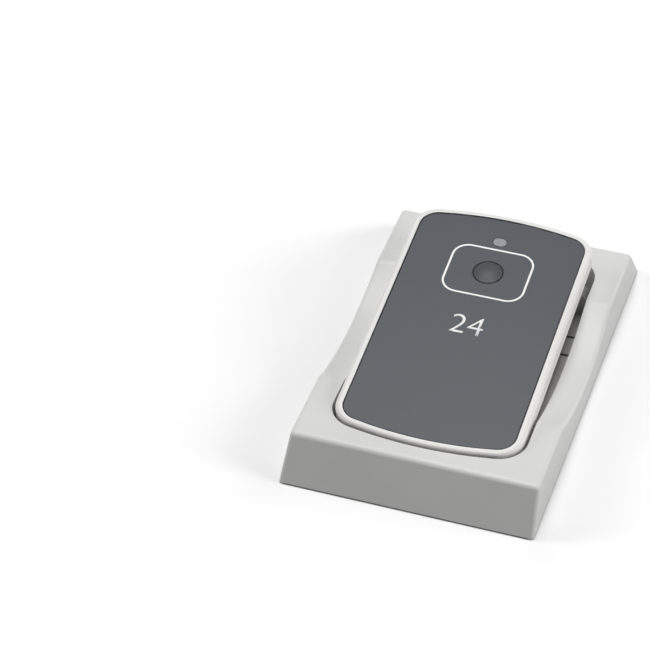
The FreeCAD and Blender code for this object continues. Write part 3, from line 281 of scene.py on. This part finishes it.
def face_film(name, colour, shade, gap_shade, roughness, depth):
    """Matt polycarbonate film with a velvet grain of this depth and a fine mottle of the ink behind it.

    Its cut edge takes the dark edge tint, painted shade of the gap next to it.
    """
    finish = Finish(name)
    velvet = finish.noise(0.09 * MM, detail=2.0, roughness=0.6)
    mottle = finish.noise(0.5 * MM, detail=4.0, roughness=0.7)
    drift = finish.noise(22 * MM, detail=2.0)
    fine_share = finish.math("MULTIPLY", mottle, 0.6)
    ink = finish.math("ADD", fine_share, finish.math("MULTIPLY", drift, 0.4))
    tint = finish.blend(finish.span(ink, 0.35, 0.65), from_srgb(*shade), from_srgb(*colour))
    gap_shade_share = finish.edge_share(0.6 * MM, low=0.01, high=0.12)
    polish = finish.span(mottle, 0.3, 0.7, roughness - 0.05, roughness + 0.05)
    finish.surface(
        # The cut edge is darkened here: painted shade of the gap round the sheet or the key.
        Base_Color=finish.blend(gap_shade_share, tint, from_srgb(*gap_shade)),
        Roughness=finish.math("ADD", polish, finish.math("MULTIPLY", gap_shade_share, 0.5)),
        Normal=finish.bump(velvet, depth),
        IOR=1.43,
    )
    return finish.material


def window_plastic(name, colour, core):
    """Milky translucent plastic, a little clearer in patches, with a satin top."""
    finish = Finish(name)
    milk = finish.noise(1.2 * MM, detail=3.0)
    haze = finish.noise(0.1 * MM, detail=2.0)
    tint = finish.blend(finish.span(milk, 0.35, 0.65), from_srgb(*colour), from_srgb(*core))
    finish.surface(
        Base_Color=tint,
        Roughness=finish.span(haze, 0.3, 0.7, 0.26, 0.38),
        Normal=finish.bump(haze, 0.004 * MM),
        Subsurface_Weight=0.35,
        Subsurface_Scale=1.0 * MM,
        Subsurface_Radius=(1.0, 1.0, 1.1),
        IOR=1.5,
    )
    return finish.material


def flat_layer_finish(name, colour, thin):
    """Screen-printed ink, also the painted shade line at the sheet's edge: nearly flat, with a few thin
    places and a soft edge sheen.
    """
    finish = Finish(name)
    mesh_marks = finish.noise(0.25 * MM, detail=3.0, roughness=0.6)
    cover = finish.noise(1.5 * MM, detail=3.0)
    thin_share = finish.span(cover, 0.55, 0.8, 0.0, 0.5)
    finish.surface(
        Base_Color=finish.blend(thin_share, from_srgb(*colour), from_srgb(*thin)),
        Roughness=finish.span(mesh_marks, 0.3, 0.7, 0.42, 0.55),
        Normal=finish.bump(mesh_marks, 0.006 * MM),
    )
    return finish.material


def circuit_laminate(name):
    """Green solder mask over laminate, with broad copper areas that show through it."""
    finish = Finish(name)
    weave = finish.add(
        "ShaderNodeTexBrick",
        {"Vector": finish.place, "Scale": 900.0, "Mortar Size": 0.03, "Mortar Smooth": 1.0},
    ).outputs["Fac"]
    copper = finish.add(
        "ShaderNodeTexVoronoi", {"Vector": finish.place, "Scale": 220.0}, distance="MANHATTAN"
    ).outputs["Distance"]
    over_copper, over_laminate = from_srgb(38, 112, 62), from_srgb(22, 84, 46)
    finish.surface(
        Base_Color=finish.blend(finish.span(copper, 0.28, 0.34), over_copper, over_laminate),
        Roughness=finish.span(weave, 0.0, 1.0, 0.3, 0.4),
        Normal=finish.bump(finish.span(copper, 0.28, 0.34, 1.0, 0.0), 0.03 * MM),
    )
    return finish.material


CASE_WHITE = moulded_plastic(
    "case_white",
    colour=(229, 228, 225),
    shade=(224, 223, 220),
    rub_and_highlight=(235, 235, 232),
    dust_and_shade=(150, 149, 144),
    reach=4 * MM,
    roughness=0.38,
    grain=0.16 * MM,
    depth=0.006 * MM,
)
STAND_WHITE = moulded_plastic(
    "stand_white",
    colour=(216, 216, 215),
    shade=(211, 211, 210),
    rub_and_highlight=(224, 224, 223),
    # The nearly black slot tint paints shade into the stand's pocket and slots.
    dust_and_shade=(44, 44, 42),
    reach=10 * MM,
    roughness=0.36,
    grain=0.2 * MM,
    depth=0.008 * MM,
)
FACE_SLATE = face_film(
    "face_slate",
    colour=(46, 52, 60),
    shade=(41, 47, 55),
    gap_shade=(12, 13, 15),
    roughness=0.36,
    depth=0.004 * MM,
)
KEY_SLATE = face_film(
    "key_slate",
    colour=(51, 53, 57),
    shade=(46, 48, 52),
    gap_shade=(42, 44, 48),
    roughness=0.42,
    depth=0.002 * MM,
)
WINDOW_MILK = window_plastic("window_milk", colour=(130, 134, 139), core=(142, 146, 151))
PRINT_WHITE = flat_layer_finish("print_white", colour=(246, 246, 244), thin=(226, 227, 228))
# Painted shade: the dark line along the sheet's cut edge
PAINTED_EDGE_SHADE = flat_layer_finish("painted_edge_shade_finish", colour=(20, 22, 25), thin=(28, 30, 34))
FOAM_TAPE = rubber("foam_tape", colour=(36, 36, 37), dust=(58, 57, 56), roughness=0.7)
FOOT_RUBBER = rubber("foot_rubber", colour=(46, 46, 48), dust=(84, 83, 80), roughness=0.75)
SEAL_RUBBER = rubber("seal_rubber", colour=(30, 30, 32), dust=(52, 51, 50), roughness=0.5)
STEEL = plain_metal("steel", colour=(196, 196, 194), stain=(166, 166, 163), roughness=0.28)
BRASS = plain_metal("brass", colour=(214, 178, 104), stain=(176, 138, 78), roughness=0.3)
BOARD = circuit_laminate("board_green")
CHIP_BLACK = moulded_plastic(
    "chip_black",
    colour=(38, 38, 40),
    shade=(32, 32, 34),
    rub_and_highlight=(60, 60, 62),
    dust_and_shade=(26, 26, 27),
    reach=1 * MM,
    roughness=0.5,
    grain=0.08 * MM,
    depth=0.006 * MM,
)
LAMP_CLEAR = window_plastic("lamp_clear", colour=(222, 222, 214), core=(236, 236, 230))

# The finish of each of the record's material slots
SLOT_FINISHES = {
    "case_plastic": CASE_WHITE,
    "face_plastic": FACE_SLATE,
    "key_plastic": KEY_SLATE,
    "lens_plastic": WINDOW_MILK,
    "stand_plastic": STAND_WHITE,
    "tape": FOAM_TAPE,
    "rubber": FOOT_RUBBER,
    "steel": STEEL,
    "board": BOARD,
    "black_plastic": CHIP_BLACK,
    "lamp_plastic": LAMP_CLEAR,
    "brass": BRASS,
}

# The slot that each CAD node comes with, read before any node gets its finish
NODE_SLOTS = {name: thing.data.materials[0].name for name, thing in frame["nodes"].items()}


def dress_node(node):
    """Gives a CAD node the finish of its slot."""
    finish = SEAL_RUBBER if node == "lid_seal" else SLOT_FINISHES[NODE_SLOTS[node]]
    frame["nodes"][node].material_slots[0].material = finish


# ---------------------------------------------------------------- pieces


def only(thing):
    """Leaves this object alone selected and active."""
    bpy.ops.object.select_all(action="DESELECT")
    thing.select_set(True)
    bpy.context.view_layer.objects.active = thing


def apply_modifier(thing, kind, **settings):
    """Adds a modifier with its settings and applies it."""
    only(thing)
    modifier = thing.modifiers.new(kind.lower(), kind)
    for key, value in settings.items():
        setattr(modifier, key, value)
    bpy.ops.object.modifier_apply(modifier=modifier.name)


def edit_all(thing):
    """Opens a piece in edit mode with all of it selected."""
    only(thing)
    bpy.ops.object.mode_set(mode="EDIT")
    bpy.ops.mesh.select_all(action="SELECT")


def copied_shape(name, source):
    """A new object with its own copy of a CAD node's mesh."""
    thing = bpy.data.objects.new(name, source.data.copy())
    bpy.context.scene.collection.objects.link(thing)
    return thing


def clean_up():
    """Joins the loose triangles of the open, selected mesh into the faces that they make up."""
    bpy.ops.mesh.remove_doubles(threshold=MERGE_WITHIN)
    bpy.ops.mesh.dissolve_limited(angle_limit=FLAT_WITHIN)


def settle(thing, name, body, finish):
    """Names a finished piece, gives it its material, and puts it on its body."""
    thing.name = name
    thing.data.name = name
    thing.data.materials.clear()
    thing.data.materials.append(finish)
    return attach(thing, body)


def finished_part(node, name, edge):
    """A moulded part as it comes off the tool: the node's shape with its sharp edges broken by edge."""
    source = frame["nodes"][node]
    thing = copied_shape(name, source)
    edit_all(thing)
    bpy.ops.mesh.customdata_custom_splitnormals_clear()
    clean_up()
    bpy.ops.object.mode_set(mode="OBJECT")
    apply_modifier(
        thing,
        "BEVEL",
        width=edge,
        segments=BEVEL_SEGMENTS,
        limit_method="ANGLE",
        angle_limit=SHARP_FROM,
        use_clamp_overlap=False,
        miter_outer="MITER_ARC",
    )
    edit_all(thing)
    bpy.ops.mesh.dissolve_degenerate(threshold=SLIVER_UNDER)
    bpy.ops.object.mode_set(mode="OBJECT")
    bpy.ops.object.shade_smooth_by_angle(angle=SMOOTH_BELOW)
    apply_modifier(thing, "WEIGHTED_NORMAL", keep_sharp=True)
    slot = NODE_SLOTS[node]
    settle(thing, name, source["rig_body"], SLOT_FINISHES[slot])
    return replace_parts(thing, node)


def keep_faces(thing, wanted):
    """Deletes all faces but the wanted ones, in edit mode."""
    bpy.ops.mesh.select_mode(type="FACE")
    bpy.ops.mesh.select_all(action="DESELECT")
    bpy.ops.object.mode_set(mode="OBJECT")
    for face in thing.data.polygons:
        face.select = not wanted(face)
    bpy.ops.object.mode_set(mode="EDIT")
    bpy.ops.mesh.delete(type="FACE")


def outside_clear_field(face):
    """Whether a face lies outside the field that holds the key and the window."""
    middle = face.center
    return abs(middle.x) > EDGE_CLEAR_WIDTH / 2 or abs(middle.y) > EDGE_CLEAR_FROM


def add_sheet_layer(thing, name, ink):
    """Turns a flat shape in the unit's own frame into a thin layer on the sheet, of printed ink or of
    painted shade.
    """
    edit_all(thing)
    bpy.ops.mesh.normals_make_consistent(inside=False)
    bpy.ops.mesh.extrude_region_move(
        TRANSFORM_OT_translate={"value": (0, 0, LAYER_THICKNESS + LAYER_SINK)}
    )
    bpy.ops.mesh.select_all(action="SELECT")
    bpy.ops.mesh.normals_make_consistent(inside=False)
    bpy.ops.object.mode_set(mode="OBJECT")
    thing.data.transform(UNIT_PLACE)
    thing.data.update()
    return settle(thing, name, "call_unit", ink)


def make_outline():
    """The rounded white line printed round the key."""
    bpy.ops.object.select_all(action="DESELECT")
    bpy.ops.mesh.primitive_plane_add(size=1.0)
    thing = bpy.context.object
    bpy.ops.object.mode_set(mode="EDIT")
    bpy.ops.mesh.select_all(action="SELECT")
    bpy.ops.transform.resize(value=(OUTLINE_WIDTH, OUTLINE_LENGTH, 1))
    bpy.ops.transform.translate(value=(*OUTLINE_MIDDLE, SHEET_TOP - LAYER_SINK))
    bpy.ops.mesh.bevel(offset=OUTLINE_CORNER, segments=OUTLINE_CORNER_SEGMENTS, affect="VERTICES")
    bpy.ops.mesh.select_all(action="SELECT")
    bpy.ops.mesh.inset(thickness=OUTLINE_STROKE)
    bpy.ops.mesh.delete(type="FACE")
    bpy.ops.object.mode_set(mode="OBJECT")
    return add_sheet_layer(thing, "printed_outline", PRINT_WHITE)


def make_number():
    """The plain table number printed below the key."""
    bpy.ops.object.select_all(action="DESELECT")
    bpy.ops.object.text_add()
    letters = bpy.context.object
    letters.data.body = NUMBER_TEXT
    letters.data.size = NUMBER_SIZE
    letters.data.align_x = "CENTER"
    letters.data.align_y = "CENTER"
    letters.data.resolution_u = NUMBER_CURVE_STEPS
    letters.data.offset = -NUMBER_THINNING
    bpy.ops.object.convert(target="MESH")
    thing = bpy.context.object
    thing.data.transform(Matrix.Translation((*NUMBER_MIDDLE, SHEET_TOP - LAYER_SINK)))
    edit_all(thing)
    bpy.ops.mesh.remove_doubles(threshold=NUMBER_MERGE_WITHIN)
    bpy.ops.object.mode_set(mode="OBJECT")
    return add_sheet_layer(thing, "printed_number", PRINT_WHITE)


def make_painted_edge_shade():
    """A dark line of painted shade that follows the cut edge of the sheet, for the gap at the rim."""
    thing = copied_shape("edge_line", frame["nodes"]["face_sheet"])
    thing.data.transform(UNIT_PLACE.inverted())
    edit_all(thing)
    clean_up()
    keep_faces(thing, lambda face: face.normal.z > FACES_UP_FROM)
    bpy.ops.mesh.select_all(action="SELECT")
    bpy.ops.mesh.inset(thickness=EDGE_STROKE)
    bpy.ops.mesh.delete(type="FACE")
    keep_faces(thing, outside_clear_field)
    bpy.ops.mesh.select_all(action="SELECT")
    bpy.ops.transform.translate(value=(0, 0, -LAYER_SINK))
    bpy.ops.object.mode_set(mode="OBJECT")
    return add_sheet_layer(thing, "painted_edge_shade_line", PAINTED_EDGE_SHADE)


# ---------------------------------------------------------------- stage

# Places and distances in metres, turns in radians, lens and sensor in millimetres
CAMERA_PLACE = Vector((0.16485, -0.61503, 0.56657))
CAMERA_YAW = -0.33246
CAMERA_PITCH = 0.71006
CAMERA_ROLL = -0.01308
CAMERA_LENS = 147.423
CAMERA_SENSOR = 36.0
CAMERA_NEAREST = 0.02
CAMERA_FARTHEST = 50


def add_camera():
    """The camera at its place, turned by its yaw to the right, its pitch down and its roll."""
    level = math.cos(CAMERA_PITCH)
    ahead = Vector(
        (math.sin(CAMERA_YAW) * level, math.cos(CAMERA_YAW) * level, -math.sin(CAMERA_PITCH))
    )
    across = Vector((math.cos(CAMERA_YAW), -math.sin(CAMERA_YAW), 0))
    upward = across.cross(ahead)
    turn = Matrix.Rotation(-CAMERA_ROLL, 3, ahead)
    axes = Matrix((turn @ across, turn @ upward, -ahead)).transposed()
    lens = bpy.data.cameras.new("camera")
    lens.sensor_width = CAMERA_SENSOR
    lens.lens = CAMERA_LENS
    lens.clip_start = CAMERA_NEAREST
    lens.clip_end = CAMERA_FARTHEST
    camera = bpy.data.objects.new("camera", lens)
    camera.matrix_world = Matrix.Translation(CAMERA_PLACE) @ axes.to_4x4()
    bpy.context.scene.collection.objects.link(camera)
    bpy.context.scene.camera = camera


def add_lamp(name, place, size, watts, mirrored=True):
    """A soft square lamp that faces the object. One that isn't mirrored leaves no glare on the face."""
    light = bpy.data.lights.new(name, "AREA")
    light.shape = "SQUARE"
    light.size = size
    light.energy = watts
    lamp = bpy.data.objects.new(name, light)
    lamp.location = place
    lamp.visible_glossy = mirrored
    lamp.rotation_mode = "QUATERNION"
    lamp.rotation_quaternion = (-Vector(place)).to_track_quat("-Z", "Y")
    bpy.context.scene.collection.objects.link(lamp)


def seen_directly(tree):
    """1 for what the camera, a mirror or glass sees, 0 for light on its way to a surface."""
    path = tree.nodes.new("ShaderNodeLightPath")
    total = None
    for ray in ("Is Camera Ray", "Is Glossy Ray", "Is Transmission Ray"):
        if total is None:
            total = path.outputs[ray]
            continue
        higher = tree.nodes.new("ShaderNodeMath")
        higher.operation = "MAXIMUM"
        tree.links.new(total, higher.inputs[0])
        tree.links.new(path.outputs[ray], higher.inputs[1])
        total = higher.outputs[0]
    return total


WORLD_LIGHT = 0.05

# The floor's size and the size of its faint patches, in metres, its greys, and the grey that light
# on its way to the object meets
FLOOR_SIZE = 12
FLOOR_PATCHES = 0.4
FLOOR_PALE = 1.0
FLOOR_FAINT = 0.02
FLOOR_BOUNCE = 0.05

# The floor glows a little from just outside the stand's foot on, so that the line where they meet
# stays dark, and fully in the distance, where no lamp reaches it.
FLOOR_GLOW = 0.1
GLOW_GAP = 1.5 * MM
GLOW_FADE = 18 * MM
DISTANCE_FROM = 300 * MM
DISTANCE_TO = 1200 * MM


def grey(value):
    """A grey of this strength as a colour."""
    return (value, value, value, 1.0)


def add_world():
    """A faint even light all round, seen as white."""
    world = bpy.data.worlds.new("studio")
    bpy.context.scene.world = world
    world.use_nodes = True
    tree = world.node_tree
    background = tree.nodes["Background"]
    background.inputs["Color"].default_value = grey(1.0)
    strength = tree.nodes.new("ShaderNodeMapRange")
    tree.links.new(seen_directly(tree), strength.inputs["Value"])
    strength.inputs["To Min"].default_value = WORLD_LIGHT
    strength.inputs["To Max"].default_value = 1.0
    tree.links.new(strength.outputs["Result"], background.inputs["Strength"])


def add_floor():
    """The pale floor. It throws little light back at the object and keeps the object's shadow."""
    finish = Finish("floor_pale")
    tree = finish.tree
    faint = finish.noise(FLOOR_PATCHES, detail=3.0)
    pale = finish.blend(faint, grey(FLOOR_PALE - FLOOR_FAINT), grey(FLOOR_PALE))
    apart = finish.add("ShaderNodeSeparateXYZ", {"Vector": finish.place}).outputs
    outside = 0.0
    for axis, half_size in (("X", cad_box[1][0]), ("Y", cad_box[1][1])):
        start = half_size + GLOW_GAP
        reach = finish.math("ABSOLUTE", apart[axis])
        beyond = finish.span(reach, start, start + GLOW_FADE, 0.0, FLOOR_GLOW)
        outside = finish.math("MAXIMUM", beyond, outside)
    length = finish.add("ShaderNodeVectorMath", {0: finish.place}, operation="LENGTH")
    away = length.outputs["Value"]
    glow = finish.math("MAXIMUM", outside, finish.span(away, DISTANCE_FROM, DISTANCE_TO))
    finish.surface(
        Base_Color=finish.blend(seen_directly(tree), grey(FLOOR_BOUNCE), pale),
        Roughness=0.9,
        Specular_IOR_Level=0.0,
        Emission_Color=grey(1.0),
        Emission_Strength=finish.math("MULTIPLY", seen_directly(tree), glow),
    )
    bpy.ops.object.select_all(action="DESELECT")
    bpy.ops.mesh.primitive_plane_add(size=FLOOR_SIZE)
    floor = bpy.context.object
    floor.name = "floor"
    floor.data.materials.append(finish.material)


add_camera()
add_world()
add_floor()
add_lamp("overhead_lamp", (0.0, -0.05, 2.0), size=1.0, watts=16.5)
add_lamp("rear_lamp", (-0.35, 0.85, 1.9), size=0.6, watts=9.5)
add_lamp("right_lamp", (1.9, 0.3, 0.7), size=1.0, watts=25.0, mirrored=False)
add_lamp("left_lamp", (-1.9, 0.0, 0.8), size=0.8, watts=16.0, mirrored=False)

for node_name in frame["nodes"]:
    dress_node(node_name)

finished_part("front_case", "front_frame", edge=0.1 * MM)
finished_part("rear_case", "rear_cover", edge=0.12 * MM)
finished_part("face_sheet", "face_panel", edge=0.06 * MM)
finished_part("call_key", "round_key", edge=0.04 * MM)
finished_part("indicator_lens", "lamp_window", edge=0.05 * MM)
finished_part("battery_lid", "coin_cell_lid", edge=0.1 * MM)
finished_part("stand_shell", "stand_body", edge=0.18 * MM)
for corner in ("front_left", "front_right", "rear_left", "rear_right"):
    finished_part(f"foot_{corner}", f"pad_{corner}", edge=0.12 * MM)
make_painted_edge_shade()
make_outline()
make_number()

bpy.context.scene.view_settings.view_transform = "Standard"
